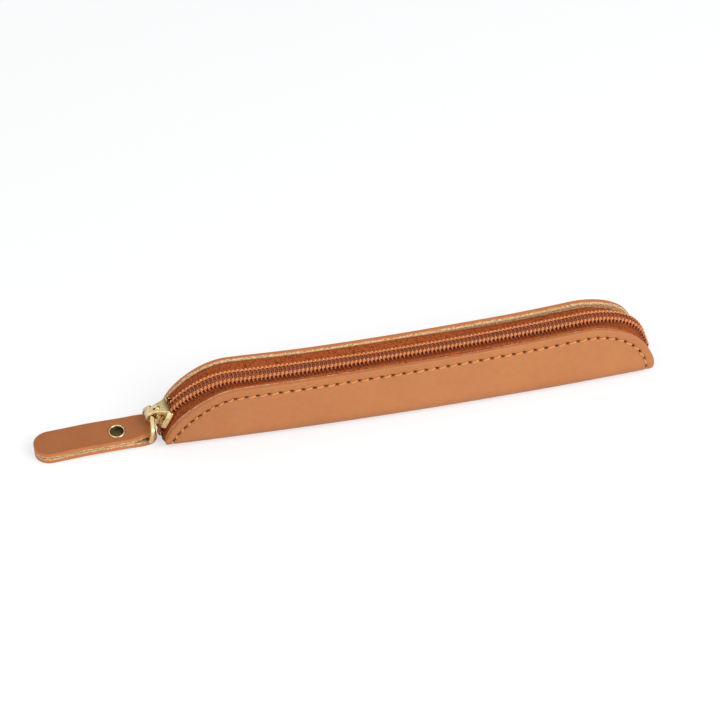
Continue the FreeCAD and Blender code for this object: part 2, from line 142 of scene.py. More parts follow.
def leather_at(x, girth):
    # Half-section of the outside of the leather: Y, Z and the outward normal
    base, angle = section_angle(x)
    turn = np.clip((girth - base) / fold_radius - math.pi / 2, -math.pi / 2, angle)
    flat = np.minimum(girth, base)
    climb = np.maximum(girth - base - fold_radius * (angle + math.pi / 2), 0)
    y = flat + fold_radius * np.cos(turn) - climb * np.sin(angle)
    z = fold_radius * (1 + np.sin(turn)) + climb * np.cos(angle)
    return y, z, np.cos(turn), np.sin(turn)


def tucked(x, z):
    # Low down, both ends of the fold are drawn in along an ellipse
    for end, inwards, height in foot_tucks:
        low = np.clip(1 - z / height, 0, 1)
        nearness = np.clip(1 - (half_length - end * x) / tuck_reach, 0, 1)
        x = x - end * inwards * nearness * (1 - np.sqrt(1 - low**2))
    return x


def smooth_bumps(x, across, size, seed):
    # Slow unevenness between -1 and 1, summed from a few fixed waves
    waves = np.random.default_rng(seed)
    wave_count = 6
    total = 0
    for _ in range(wave_count):
        way = waves.uniform(0, 2 * math.pi)
        step = 2 * math.pi / (size * waves.uniform(0.7, 1.6))
        start = waves.uniform(0, 2 * math.pi)
        total = total + np.sin(step * (x * math.cos(way) + across * math.sin(way)) + start)
    return total / wave_count


def smooth_step(value, start, length):
    # Rises softly from 0 at the start to 1 after the length
    share = np.clip((value - start) / length, 0, 1)
    return share * share * (3 - 2 * share)


def add_mesh(name, points, faces, uv=None, values=None):
    mesh = bpy.data.meshes.new(name)
    mesh.from_pydata([tuple(point) for point in points], [], [tuple(face) for face in faces])
    mesh.polygons.foreach_set("use_smooth", [True] * len(mesh.polygons))
    if uv is not None:
        corners = np.empty(len(mesh.loops), int)
        mesh.loops.foreach_get("vertex_index", corners)
        layer = mesh.uv_layers.new(name="UVMap")
        layer.data.foreach_set("uv", np.asarray(uv, float)[corners].ravel())
    for key, column in (values or {}).items():
        mesh.attributes.new(key, "FLOAT", "POINT").data.foreach_set("value", np.asarray(column, float))
    mesh.update()
    piece = bpy.data.objects.new(name, mesh)
    bpy.context.scene.collection.objects.link(piece)
    return piece


def grid_faces(rows, columns, start=0, flip=False):
    index = start + np.arange(rows * columns).reshape(rows, columns)
    quads = np.stack([index[:-1, :-1], index[:-1, 1:], index[1:, 1:], index[1:, :-1]], -1).reshape(-1, 4)
    return (quads[:, ::-1] if flip else quads).tolist()


stitch_margin = 0.0032
stitch_pitch = 0.0040
first_stitch = 0.0032
last_stitch = rim_run - 0.0045
foot_draw = 0.0011
foot_draw_reach = 0.012
tight_end = 0.022
tight_fade = 0.030
stitch_runs = np.arange(first_stitch, last_stitch, stitch_pitch)
hole_runs = np.append(stitch_runs - stitch_pitch / 2, stitch_runs[-1] + stitch_pitch / 2)


def margin(run):
    # The row of stitches draws nearer to the edge towards the left foot
    return stitch_margin - foot_draw * np.clip(1 - run / foot_draw_reach, 0, 1)


def tight(run):
    # The stitches are pulled shorter and deeper round the left corner
    return 1 - smooth_step(run, tight_end, tight_fade)


hole_raise = 0.0001
hole_length = 0.00092
hole_width = 0.00044
hole_slant = 0.15
hole_sink = 0.00035
tight_hole = 0.60
hole_x, hole_z, hole_out_x, hole_out_z = rim(hole_runs, margin(hole_runs) - hole_raise)
hole_x = tucked(hole_x, hole_z)
hole_half = hole_length * (1 + tight_hole * tight(hole_runs))

# Rows of the sheet lie close together by the edge and the stitches, and further apart down to the base
edge_columns = 721
nominal_girth = 0.0300
by_edge = [0.0002, 0.0006, 0.0012, 0.0018]
by_stitches = np.linspace(0.0023, 0.0043, 14)
on_panel = np.linspace(0.0050, 0.0165, 12)
to_base = np.linspace(0.42, 0, 13)
edge_x, edge_z, _, _ = rim(np.linspace(0, rim_run, edge_columns))
edge_girth = girth_at(edge_x, np.maximum(edge_z, 0))
foot_x = np.linspace(-half_length, half_length, edge_columns)
from_edge = np.concatenate([by_edge, by_stitches, on_panel])
share = np.concatenate([1 - from_edge / nominal_girth, to_base])[:, None]
share = np.concatenate([share, share[-2::-1]])
side = np.concatenate([-np.ones(len(share) // 2 + 1), np.ones(len(share) // 2)])[:, None]
flat_x = (1 - share) * foot_x + share * edge_x
girth = share * edge_girth
flat_x = tucked(flat_x, leather_at(flat_x, girth)[1])
half_y, height, normal_y, normal_z = leather_at(flat_x, girth)
depth = edge_depth(flat_x, height)

sewn_width = 0.0007
sewn_sink = 0.00014
sewn_above = 0.008
soft_height = 0.00022
soft_size = 0.035
soft_above = 0.006
sewn = np.exp(-((depth - stitch_margin) / sewn_width) ** 2) * (girth > sewn_above)
hole = np.zeros_like(depth)
for x, z, out_x, out_z, half in zip(hole_x, hole_z, hole_out_x, hole_out_z, hole_half):
    along = (flat_x - x) * out_z - (height - z) * out_x
    across = (flat_x - x) * out_x + (height - z) * out_z + hole_slant * along
    hole = np.maximum(hole, np.exp(-((along / half) ** 4) - (across / hole_width) ** 2))
soft = soft_height * smooth_bumps(flat_x, girth * side, soft_size, 4) * np.clip(height / soft_above, 0, 1)
lift = soft - sewn_sink * sewn - hole_sink * hole
outside = np.stack([flat_x, side * (half_y + lift * normal_y), height + lift * normal_z], -1)
push = np.stack([0 * flat_x, side * normal_y, normal_z], -1)
edge_profile = [(0.05, 0.00012), (0.16, 0.00019), (0.40, 0.00022), (0.60, 0.00022), (0.80, 0.00018),
                (0.93, 0.00008)]


def leather_piece(name, outside, push, thickness, pattern, hole):
    # A grid of points on the grain side becomes a sheet with a flesh side and a slightly rounded cut edge
    row_count, columns = pattern.shape[:2]
    inside = outside - thickness * push
    loop = [(0, column) for column in range(columns)]
    loop += [(row, columns - 1) for row in range(1, row_count)]
    loop += [(row_count - 1, column) for column in range(columns - 2, -1, -1)]
    loop += [(row, 0) for row in range(row_count - 2, 0, -1)]
    loop_rows, loop_columns = np.array(loop).T
    inner_rows = np.clip(loop_rows, 1, row_count - 2)
    inner_columns = np.clip(loop_columns, 1, columns - 2)
    edge = outside[loop_rows, loop_columns]
    outwards = edge - outside[inner_rows, inner_columns]
    outwards /= np.linalg.norm(outwards, axis=1)[:, None]
    edge_push = push[loop_rows, loop_columns]
    rings = [edge + out * outwards - through * thickness * edge_push for through, out in edge_profile]
    grid_size = row_count * columns
    ring_size = len(loop)
    faces = grid_faces(row_count, columns) + grid_faces(row_count, columns, grid_size, flip=True)
    loop_index = loop_rows * columns + loop_columns
    levels = [loop_index] + [2 * grid_size + k * ring_size + np.arange(ring_size) for k in range(len(rings))]
    levels.append(loop_index + grid_size)
    for upper, lower in zip(levels[:-1], levels[1:]):
        faces += np.stack([upper, lower, np.roll(lower, -1), np.roll(upper, -1)], -1).tolist()
    grain_uv = pattern.reshape(-1, 2)
    steps = np.linalg.norm(np.diff(edge, axis=0), axis=1)
    loop_run = np.concatenate([[0], np.cumsum(steps)])
    edge_uv = [np.stack([loop_run, 1 + through * thickness + 0 * loop_run], -1)
               for through, _ in edge_profile]
    flesh = [np.full(ring_size, through) for through, _ in edge_profile]
    edge_zeros = np.zeros(len(rings) * ring_size)
    values = {"flesh": np.concatenate([np.zeros(grid_size), np.ones(grid_size)] + flesh),
              "cut": np.concatenate([np.zeros(2 * grid_size), edge_zeros + 1]),
              "pricked": np.concatenate([hole.ravel(), np.zeros(grid_size), edge_zeros])}
    points = np.concatenate([outside.reshape(-1, 3), inside.reshape(-1, 3)] + rings)
    return add_mesh(name, points, faces, np.concatenate([grain_uv, grain_uv] + edge_uv), values)


shell_pattern = np.stack([flat_x, girth * side], -1)
shell = leather_piece("leather_case", outside, push, leather, shell_pattern, hole)


def linear(red, green, blue):
    # A colour given in display values from 0 to 255
    parts = [value / 255 for value in (red, green, blue)]
    lit = [part / 12.92 if part < 0.04045 else ((part + 0.055) / 1.055) ** 2.4 for part in parts]
    return (*lit, 1.0)


class Wiring:
    # Places and joins nodes in a material or a node group

    def __init__(self, tree):
        self.tree = tree

    def link(self, source, socket):
        self.tree.links.new(source, socket)

    def add(self, kind, inputs=None, **settings):
        node = self.tree.nodes.new(kind)
        for key, value in settings.items():
            setattr(node, key, value)
        for key, value in (inputs or {}).items():
            if isinstance(value, bpy.types.NodeSocket):
                self.link(value, node.inputs[key])
            else:
                node.inputs[key].default_value = value
        return node

    def pattern(self):
        return self.add("ShaderNodeUVMap", uv_map="UVMap").outputs["UV"]

    def stretched(self, vector, scale):
        return self.add("ShaderNodeMapping", {"Vector": vector, "Scale": scale}).outputs["Vector"]

    def noise(self, vector, scale, detail=3.0, roughness=0.55):
        return self.add("ShaderNodeTexNoise", {"Vector": vector, "Scale": scale, "Detail": detail,
                                               "Roughness": roughness}).outputs["Fac"]

    def cells(self, vector, scale, feature):
        return self.add("ShaderNodeTexVoronoi", {"Vector": vector, "Scale": scale},
                        feature=feature).outputs["Distance"]

    def math(self, operation, first, second=0.0):
        return self.add("ShaderNodeMath", {0: first, 1: second}, operation=operation).outputs[0]

    def ranged(self, value, low, high, to_low=0.0, to_high=1.0):
        return self.add("ShaderNodeMapRange", {"Value": value, "From Min": low, "From Max": high,
                                               "To Min": to_low, "To Max": to_high}).outputs["Result"]

    def blend(self, factor, first, second, mode="MIX"):
        return self.add("ShaderNodeMix", {0: factor, 6: first, 7: second}, data_type="RGBA",
                        blend_type=mode).outputs[2]

    def bump(self, height, strength, distance):
        return self.add("ShaderNodeBump", {"Height": height, "Strength": strength,
                                           "Distance": distance}).outputs["Normal"]


def new_group(name, inputs, outputs):
    tree = bpy.data.node_groups.new(name, "ShaderNodeTree")
    for label, kind in inputs:
        tree.interface.new_socket(label, in_out="INPUT", socket_type=kind)
    for label, kind in outputs:
        tree.interface.new_socket(label, in_out="OUTPUT", socket_type=kind)
    net = Wiring(tree)
    return net, net.add("NodeGroupInput").outputs, net.add("NodeGroupOutput").inputs


def new_material(name):
    material = bpy.data.materials.new(name)
    material.use_nodes = True
    return material, Wiring(material.node_tree), material.node_tree.nodes["Principled BSDF"]


def feed(net, surface, **sources):
    # Each source goes into the input of that name, with underscores for its spaces
    for label, source in sources.items():
        net.link(source, surface.inputs[label.replace("_", " ")])


COLOUR, VALUE, VECTOR = "NodeSocketColor", "NodeSocketFloat", "NodeSocketVector"
leather_group, given, made = new_group(
    "tanned_leather",
    [("Pattern", VECTOR), ("Dye", COLOUR), ("Edge", COLOUR), ("Raw", COLOUR), ("Flesh", VALUE),
     ("Cut", VALUE), ("Pricked", VALUE)],
    [("Colour", COLOUR), ("Roughness", VALUE), ("Height", VALUE)])
net = leather_group
place = given["Pattern"]
raw_shade = (0.12, 0.05, 0.015, 1.0)
# Painted shade: the colour laid into the stitch holes so that they look shadowed
hole_painted_shade = (0.12, 0.03, 0.012, 1.0)
clouds = net.noise(place, 38.0, 4.0)
mottle = net.noise(place, 420.0, 3.0)
pores = net.cells(place, 1500.0, "F1")
creases = net.cells(place, 620.0, "DISTANCE_TO_EDGE")
shade = net.math("ADD", net.ranged(clouds, 0.3, 0.7, -0.05, 0.05), net.ranged(mottle, 0.3, 0.7, -0.03, 0.03))
uneven = net.add("ShaderNodeCombineColor", {
    "Red": net.math("ADD", shade, 1.0),
    "Green": net.math("ADD", net.math("MULTIPLY", shade, 1.25), 1.0),
    "Blue": net.math("ADD", net.math("MULTIPLY", shade, 1.5), 1.0)}).outputs["Color"]
fibres = net.noise(net.stretched(place, (1.0, 1.8, 1.0)), 620.0, 6.0, 0.75)
nap = net.noise(place, 1900.0, 2.0)
loose = net.math("ADD", net.math("MULTIPLY", fibres, 0.5), net.math("MULTIPLY", nap, 0.5))
raw_dark = net.blend(0.76, given["Raw"], raw_shade)
raw_colour = net.blend(net.ranged(loose, 0.43, 0.55), raw_dark, given["Raw"])
frayed = net.noise(place, 260.0, 3.0)
edge_noise = net.math("ADD", net.math("ADD", given["Flesh"], net.ranged(loose, 0.35, 0.65, -0.14, 0.14)),
                      net.ranged(frayed, 0.3, 0.7, -0.09, 0.09))
to_raw = net.ranged(edge_noise, 0.64, 0.80)
dyed = net.blend(1.0, net.blend(given["Cut"], given["Dye"], given["Edge"]), uneven, "MULTIPLY")
skin = net.blend(to_raw, dyed, raw_colour)
# Where the leather is pricked, the skin is multiplied by the painted shade of the holes
skin_with_hole_shade = net.blend(1.0, skin, hole_painted_shade, "MULTIPLY")
roughness = net.math("ADD", net.ranged(mottle, 0.3, 0.7, 0.40, 0.50), net.math("MULTIPLY", to_raw, 0.40))
grain_height = net.math("ADD", net.math("MULTIPLY", net.ranged(creases, 0.0, 0.12), 0.35),
                        net.math("MULTIPLY", net.ranged(pores, 0.0, 0.5), 0.25))
raw_height = net.math("MULTIPLY", loose, 1.6)
heights = net.add("ShaderNodeMix", {0: to_raw, 2: grain_height, 3: raw_height}, data_type="FLOAT")
net.link(net.blend(given["Pricked"], skin, skin_with_hole_shade), made["Colour"])
net.link(roughness, made["Roughness"])
net.link(heights.outputs[0], made["Height"])


def leather_material(name, dye, edge, raw):
    material, net, surface = new_material(name)
    marks = {key: net.add("ShaderNodeAttribute", attribute_name=key.lower()).outputs["Fac"]
             for key in ("Flesh", "Cut", "Pricked")}
    skin = net.add("ShaderNodeGroup", {"Pattern": net.pattern(), "Dye": dye, "Edge": edge, "Raw": raw,
                                       **marks}, node_tree=leather_group.tree)
    feed(net, surface, Base_Color=skin.outputs["Colour"], Roughness=skin.outputs["Roughness"],
         Specular_IOR_Level=net.ranged(marks["Pricked"], 0.0, 0.6, 0.28, 0.0),
         Normal=net.bump(skin.outputs["Height"], 0.45, 0.00012))
    return material


raw_leather = linear(238, 202, 152)
shell.data.materials.append(leather_material("tan_cowhide", linear(191, 122, 73), linear(192, 116, 68),
                                             raw_leather))
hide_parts("leather_shell")
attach(shell, "case")

# Saddle stitches. A waxed orange thread sews each panel to its tape in one row near the edge.
# Every stitch comes out of one slanted hole and goes down the next, so it lies a little askew.

stitch_thread = 0.00027
stitch_slant = 0.00050
stitch_rise = 0.00062
stitch_sink = 0.00056
stitch_share = 0.64
tight_share = 0.20
tight_sink = 0.00010


def ring_faces(count, sides, closed=False):
    # Faces between rings of points that follow each other, with a cover on each open end
    index = np.arange(count * sides).reshape(count, sides)
    following = np.roll(index, -1, 0) if closed else index[1:]
    faces = []
    for here, there in zip(index, following):
        faces += np.stack([here, np.roll(here, -1), np.roll(there, -1), there], -1).tolist()
    if not closed:
        faces += [index[0][::-1].tolist(), index[-1].tolist()]
    return faces


def tube(points, radius, sides=10, closed=False, plies=0, twist=0.0):
    # A round or plied strand along points, with its ends closed
    points = np.asarray(points, float)
    count = len(points)
    ways = np.roll(points, -1, 0) - np.roll(points, 1, 0)
    if not closed:
        ways[0] = points[1] - points[0]
        ways[-1] = points[-1] - points[-2]
    ways /= np.linalg.norm(ways, axis=1)[:, None]
    across = np.empty_like(ways)
    seed = np.array([0.0, 0.0, 1.0]) if abs(ways[0][2]) < 0.9 else np.array([1.0, 0.0, 0.0])
    for k in range(count):
        seed = seed - ways[k] * seed.dot(ways[k])
        seed /= np.linalg.norm(seed)
        across[k] = seed
    along = np.concatenate([[0], np.cumsum(np.linalg.norm(np.diff(points, axis=0), axis=1))])
    other = np.cross(ways, across)
    turn = np.linspace(0, 2 * math.pi, sides, endpoint=False)
    radii = np.broadcast_to(np.asarray(radius, float), (count,))[:, None] * np.ones(sides)
    if plies:
        radii = radii * (0.90 + 0.12 * np.abs(np.cos(plies / 2 * (turn - twist * along[:, None]))))
    ring = (points[:, None] + radii[..., None] * (np.cos(turn)[:, None] * across[:, None]
                                                  + np.sin(turn)[:, None] * other[:, None]))
    uv = np.stack([np.repeat(along, sides), np.tile(turn / (2 * math.pi), count)], -1)
    return ring.reshape(-1, 3), ring_faces(count, sides, closed), uv


def joined(parts):
    # Several strands as one mesh
    points, faces, uv = [], [], []
    start = 0
    for part_points, part_faces, part_uv in parts:
        points.append(part_points)
        uv.append(part_uv)
        faces += [[corner + start for corner in face] for face in part_faces]
        start += len(part_points)
    return np.concatenate(points), faces, np.concatenate(uv)


thread_group, given, made = new_group("twisted_thread", [("Strand", VECTOR), ("Tint", COLOUR)],
                                      [("Colour", COLOUR), ("Height", VALUE)])
net = thread_group
# Painted shade: the grooves between the plies of the twist are darkened
ply_groove_shade = (0.62, 0.52, 0.45, 1.0)
plies = net.add("ShaderNodeTexWave", {"Vector": net.stretched(given["Strand"], (900.0, 1.0, 1.0)),
                                      "Scale": 1.0, "Distortion": 0.6, "Detail": 2.0},
                wave_type="BANDS", bands_direction="DIAGONAL").outputs["Fac"]
fuzz = net.noise(given["Strand"], 3000.0, 2.0)
shaded = net.blend(1.0, given["Tint"], ply_groove_shade, "MULTIPLY")
net.link(net.blend(net.ranged(plies, 0.1, 0.8), shaded, given["Tint"]), made["Colour"])
net.link(net.math("ADD", plies, net.math("MULTIPLY", fuzz, 0.4)), made["Height"])


def thread_material(name, tint):
    material, net, surface = new_material(name)
    strand = net.add("ShaderNodeGroup", {"Strand": net.pattern(), "Tint": tint}, node_tree=thread_group.tree)
    feed(net, surface, Base_Color=strand.outputs["Colour"],
         Normal=net.bump(strand.outputs["Height"], 0.5, 0.00008))
    surface.inputs["Roughness"].default_value = 0.55
    surface.inputs["Sheen Weight"].default_value = 0.25
    return material


seam_thread = thread_material("waxed_orange_thread", linear(246, 168, 94))
for panel, sign in (("front", -1), ("back", 1)):
    strands = []
    for run in stitch_runs:
        ride = np.linspace(0, 1, 13)
        span = stitch_pitch * (stitch_share - tight_share * tight(run))
        x, z, _, _ = rim(run + (ride - 0.5) * span, margin(run) + (0.5 - ride) * stitch_slant)
        x = tucked(x, z)
        y, z, out_y, out_z = leather_at(x, girth_at(x, z))
        rise = stitch_rise - tight_sink * tight(run)
        stand = rise * np.sin(math.pi * ride) ** 0.55 - stitch_sink
        strands.append(tube(np.stack([x, sign * (y + stand * out_y), z + stand * out_z], -1),
                            stitch_thread, 10, plies=3, twist=2200.0))
    seam = add_mesh(f"saddle_stitches_{panel}", *joined(strands))
    seam.data.materials.append(seam_thread)
    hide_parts(f"seam_thread_{panel}")
    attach(seam, "case")

# Zip tapes. A rust-brown woven polyester tape on each side: its bead carries the coil, and its outer part
# turns down inside the panel, where the saddle stitches hold it against the leather.

tape_depth = 0.0013
tape_cloth_thickness = 0.0005
tape_swell = {"front": 0.0, "back": 0.0004}
tape_columns = 420
tape_end = 0.0008
bead_across = 0.0008
ledge_across = 0.0032
tape_lowest = 0.0010
hem_lowest = 0.0022
hem_clear = 0.00035
hem_clear_below = 0.0004
tape_runs = np.linspace(tape_end, rim_run - tape_end, tape_columns)
towards_right = smooth_step(tape_runs / rim_run, 0.48, 0.20)
from_left = np.clip(1 - tape_runs / 0.060, 0, 1)
meets_at = {"front": np.full(tape_columns, 0.0006),
            "back": 0.0012 + 0.0018 * towards_right - 0.0006 * from_left}
top_sag = 0.0009
slider_lift = 0.0006
right_lift = 0.0009
foot_lift = 0.0012
left_lean = 0.30
right_lean = 0.12
towards_front = 0.0005


def on_chain(run, across, depth):
    # A point of the zip, whose chain sags along the top, leans to the front and swells out at the two ends
    run, across, depth = np.broadcast_arrays(run, across, depth)
    left = smooth_step(run, 0.010, 0.022)
    right = smooth_step(rim_run - run, 0.012, 0.026)
    foot = 1 - smooth_step(run, 0.0, 0.006)
    clear = smooth_step(run, 0.012, 0.036)
    sink = top_sag * clear * right - slider_lift * (1 - clear) - right_lift * (1 - right) - foot_lift * foot
    lean = (left_lean * left * (1 - smooth_step(run, 0.040, 0.050))
            + right_lean * smooth_step(run, rim_run - 0.080, 0.040))
    x, z, _, _ = rim(run, depth + sink - across * np.sin(lean))
    return np.stack([tucked(x, z), across * np.cos(lean) - towards_front * left * right, z], -1)


def weave_material(name, tint):
    material, net, surface = new_material(name)
    cloth = net.pattern()
    ribs = net.add("ShaderNodeTexWave", {"Vector": cloth, "Scale": 420.0, "Distortion": 1.0, "Detail": 1.0},
                   wave_type="BANDS", bands_direction="Y").outputs["Fac"]
    picks = net.add("ShaderNodeTexWave", {"Vector": cloth, "Scale": 430.0, "Distortion": 1.4, "Detail": 1.0},
                    wave_type="BANDS", bands_direction="X").outputs["Fac"]
    wear = net.noise(cloth, 260.0, 3.0)
    slubs = net.noise(net.stretched(cloth, (1.0, 0.7, 1.0)), 1000.0, 3.0, 0.7)
    threads = net.math("ADD", net.math("MULTIPLY", ribs, 0.35), net.math("MULTIPLY", picks, 0.25))
    woven = net.math("ADD", threads, net.ranged(slubs, 0.35, 0.65, 0.0, 0.70))
    dark = tuple(0.24 * part for part in tint[:3]) + (1.0,)
    worn = tuple(1.25 * part for part in tint[:3]) + (1.0,)
    shaded = net.blend(net.ranged(woven, 0.30, 0.80), dark, tint)
    faded = net.blend(net.ranged(wear, 0.35, 0.7, 0.0, 0.35), shaded, worn)
    feed(net, surface, Base_Color=faded, Normal=net.bump(woven, 0.7, 0.00018))
    surface.inputs["Roughness"].default_value = 0.85
    surface.inputs["Specular IOR Level"].default_value = 0.15
    return material


tape_cloth = weave_material("woven_tape", linear(172, 84, 38))
for panel, sign in (("front", -1), ("back", 1)):
    layers = []
    x, z, up_x, up_z = rim(tape_runs, meets_at[panel])
    swell = tape_swell[panel] * np.stack([up_x, 0 * up_x, up_z], -1)
    y, _, out_y, _ = leather_at(x, girth_at(x, np.maximum(z, hem_lowest)))
    hem = np.stack([tucked(x, z), sign * (y - (leather + hem_clear) * out_y), z], -1)
    bead = on_chain(tape_runs, sign * bead_across, tape_depth)
    ledge = on_chain(tape_runs, sign * ledge_across, tape_depth)
    for step in np.linspace(0, 1, 5):
        layers.append(bead + step * (ledge - bead))
    for step in np.linspace(0.08, 1, 12):
        layers.append(ledge + step * (hem - ledge) + swell * math.sin(math.pi * step))
    for layer in layers:
        layer[:, 2] = np.maximum(layer[:, 2], tape_lowest)
    for down in np.linspace(0.0006, 0.0100, 10):
        x, z, _, _ = rim(tape_runs, meets_at[panel] + down)
        z = np.maximum(z, hem_lowest)
        y, _, out_y, _ = leather_at(x, girth_at(x, z))
        layers.append(np.stack([tucked(x, z), sign * (y - (leather + hem_clear_below) * out_y), z], -1))
    layers = np.stack(layers)
    steps = np.linalg.norm(np.diff(layers[:, tape_columns // 2], axis=0), axis=1)
    span = np.concatenate([[0], np.cumsum(steps)])
    tape_uv = np.stack(np.broadcast_arrays(tape_runs[None], span[:, None]), -1).reshape(-1, 2)
    tape = add_mesh(f"woven_tape_{panel}", layers.reshape(-1, 3),
                    grid_faces(len(layers), tape_columns, flip=sign > 0), tape_uv)
    body = tape.modifiers.new("cloth", "SOLIDIFY")
    body.thickness = tape_cloth_thickness
    body.offset = -1.0
    tape.data.materials.append(tape_cloth)
    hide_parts(f"zip_tape_{panel}")
    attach(tape, "case")

# Zip coils. Each is one nylon monofilament wound in flat turns round a filler cord, straight across on top
# and slanting back underneath. The heads of the two coils sit between each other along the middle of the
# closed zip.

coil_pitch = 0.00146
coil_wire = 0.00034
coil_start = 0.0026
coil_middle = 0.00120
coil_reach = 0.00156
coil_level = 0.00036
coil_rise = 0.00056
turn_steps = 24
turns = int((rim_run - 2 * coil_start) / coil_pitch)

nylon, net, surface = new_material("nylon_monofilament")
streaks = net.noise(net.stretched(net.pattern(), (1.0, 0.02, 1.0)), 700.0, 3.0)
nylon_colour = net.blend(net.ranged(streaks, 0.35, 0.65), linear(124, 58, 28), linear(180, 94, 50))
feed(net, surface, Base_Color=nylon_colour, Roughness=net.ranged(streaks, 0.3, 0.7, 0.26, 0.40))
surface.inputs["Coat Weight"].default_value = 0.12
for panel, sign, shift in (("front", -1, 0.0), ("back", 1, 0.5)):
    turn = np.linspace(0, turns, turns * turn_steps + 1)
    wind = 2 * math.pi * turn
    flat = np.sign(np.cos(wind)) * np.abs(np.cos(wind)) ** 0.7
    tall = np.sign(np.sin(wind)) * np.abs(np.sin(wind)) ** 0.6
    advance = np.floor(turn) + smooth_step(turn % 1, 0.45, 0.55)
    coil = add_mesh(f"nylon_coil_{panel}", *tube(
        on_chain(coil_start + (advance + shift) * coil_pitch, sign * (coil_middle + coil_reach * flat),
                 coil_level - coil_rise * tall), coil_wire, 8))
    coil.data.materials.append(nylon)
    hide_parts(f"zip_coil_{panel}")
    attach(coil, "case")

# Filler cords. A soft twisted polyester cord runs through the turns of each coil and keeps them even.
# The sewing of the coil goes round it, so nothing else holds it.

cord_points = 600
cord_middle = 0.00136
cord_level = 0.00040
cord_radius = 0.00040
cord_material = thread_material("twisted_filler_cord", linear(168, 92, 50))
for panel, sign in (("front", -1), ("back", 1)):
    cord_runs = np.linspace(coil_start, rim_run - coil_start, cord_points)
    filler = add_mesh(f"filler_cord_{panel}", *tube(
        on_chain(cord_runs, sign * cord_middle, cord_level), cord_radius, 10, plies=3, twist=1500.0))
    filler.data.materials.append(cord_material)
    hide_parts(f"coil_cord_{panel}")
    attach(filler, "case")

# Coil sewing. Two rows of bright polyester thread on each side go over every turn and pull the coil down
# on its tape. Each row has its place across the coil, length in pitches, thread radius and stand.

sewing_material = thread_material("coil_sewing_thread", linear(248, 152, 76))
sewing_rows = {"front": ((0.00150, 0.94, 0.00026, 0.00014), (0.00208, 0.86, 0.00024, 0.00004)),
               "back": ((0.00160, 1.08, 0.00027, 0.00014), (0.00214, 0.92, 0.00022, 0.00002))}
sewing_slant = {"front": 0.0009, "back": 0.0003}
sewing_level = -0.00052
sewing_dip = 0.00045
for panel, sign, shift in (("front", -1, 0.25), ("back", 1, 0.75)):
    loops = []
    for place in range(turns):
        run = coil_start + (place + shift) * coil_pitch
        for across, length, width, stand in sewing_rows[panel]:
            ride = np.linspace(-0.5, 0.5, 9)
            arc = np.cos(math.pi * ride)
            loops.append(tube(on_chain(
                run + ride * coil_pitch * length, sign * across + sewing_slant[panel] * ride,
                sewing_level - stand + (1 - arc) * sewing_dip), width * (0.55 + 0.45 * arc**0.5), 8))
    sewing = add_mesh(f"sewing_rows_{panel}", *joined(loops))
    sewing.data.materials.append(sewing_material)
    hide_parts(f"coil_sewing_{panel}")
    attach(sewing, "case")

# End tack. At the right end a close bar of the same thread is sewn across both coils.
# It holds them together and stops the slider.

tack_angle = math.radians(16)
tack_half_length = 0.0008
tack_reach = 0.0031
tack_level = -0.00118
tack_fall = 0.0010
tack_thread = 0.00016
tack_waver = 0.00006
tack_middle = rim_run - corner_radius * (tack_angle - foot_angle)
tack_loops = []
for place in np.linspace(-tack_half_length, tack_half_length, 7):
    sweep = np.linspace(-1, 1, 21)
    tack_run = tack_middle + place + tack_waver * np.sin(9 * sweep + 900 * place)
    tack_path = on_chain(tack_run, tack_reach * sweep, tack_level + tack_fall * np.abs(sweep) ** 5)
    tack_loops.append(tube(tack_path, tack_thread, 8, plies=3, twist=3000.0))
tack = add_mesh("thread_tack", *joined(tack_loops))
tack.data.materials.append(sewing_material)
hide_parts("zip_end_tack")
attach(tack, "case")

# Slider body. A cast zinc slider plated pale gold: a top plate with two side flanges, the wedge that parts
# the coils and a sole under the tape. It is bent to the corner it rides on.

slider_angle = math.radians(29.5)
slider_askew = 0.08
plate_inside = corner_radius + 0.0012
plate_top = corner_radius + 0.0023
sole_top = corner_radius - 0.0025
sole_bottom = corner_radius - 0.0036
plate_rounding = 0.0007
flange_rounding = 0.00025
wedge_rounding = 0.00005


def on_slider(along, across, radius):
    # Along runs from the nose to the tail on the arc of the zip, radius out from the corner's centre.
    # The pull drags the front side down, so the body sits a little askew
    angle = slider_angle + (np.asarray(along) + slider_askew * np.asarray(across)) / corner_radius
    return np.stack(np.broadcast_arrays(-corner_x - radius * np.cos(angle), across,
                                        corner_z + radius * np.sin(angle)), -1)


def rounded_outline(corners, radius, steps=8):
    # A closed plan with its corners rounded
    corners = np.asarray(corners, float)
    points = []
    for k, here in enumerate(corners):
        before = corners[k - 1] - here
        after = corners[(k + 1) % len(corners)] - here
        before /= np.linalg.norm(before)
        after /= np.linalg.norm(after)
        half = math.acos(np.clip(before.dot(after), -1, 1)) / 2
        start = here + before * radius / math.tan(half)
        end = here + after * radius / math.tan(half)
        for step in np.linspace(0, 1, steps):
            points.append((1 - step) ** 2 * start + 2 * step * (1 - step) * here + step**2 * end)
    return np.array(points)


def lofted_plate(outline, levels, place):
    # The outline stacked at several heights, each drawn in by its own inset, with closed ends
    ways = np.roll(outline, -1, 0) - np.roll(outline, 1, 0)
    ways /= np.linalg.norm(ways, axis=1)[:, None]
    outwards = np.stack([ways[:, 1], -ways[:, 0]], -1)
    area = np.sum(outline[:, 0] * np.roll(outline[:, 1], -1) - outline[:, 1] * np.roll(outline[:, 0], -1))
    outwards *= np.sign(area)
    points, uv = [], []
    for height, inset in levels:
        plan = outline - outwards * inset
        points.append(place(plan[:, 0], plan[:, 1], height))
        uv.append(plan)
    faces = ring_faces(len(levels), len(outline))
    if area < 0:
        faces = [face[::-1] for face in faces]
    return np.concatenate(points), faces, np.concatenate(uv)


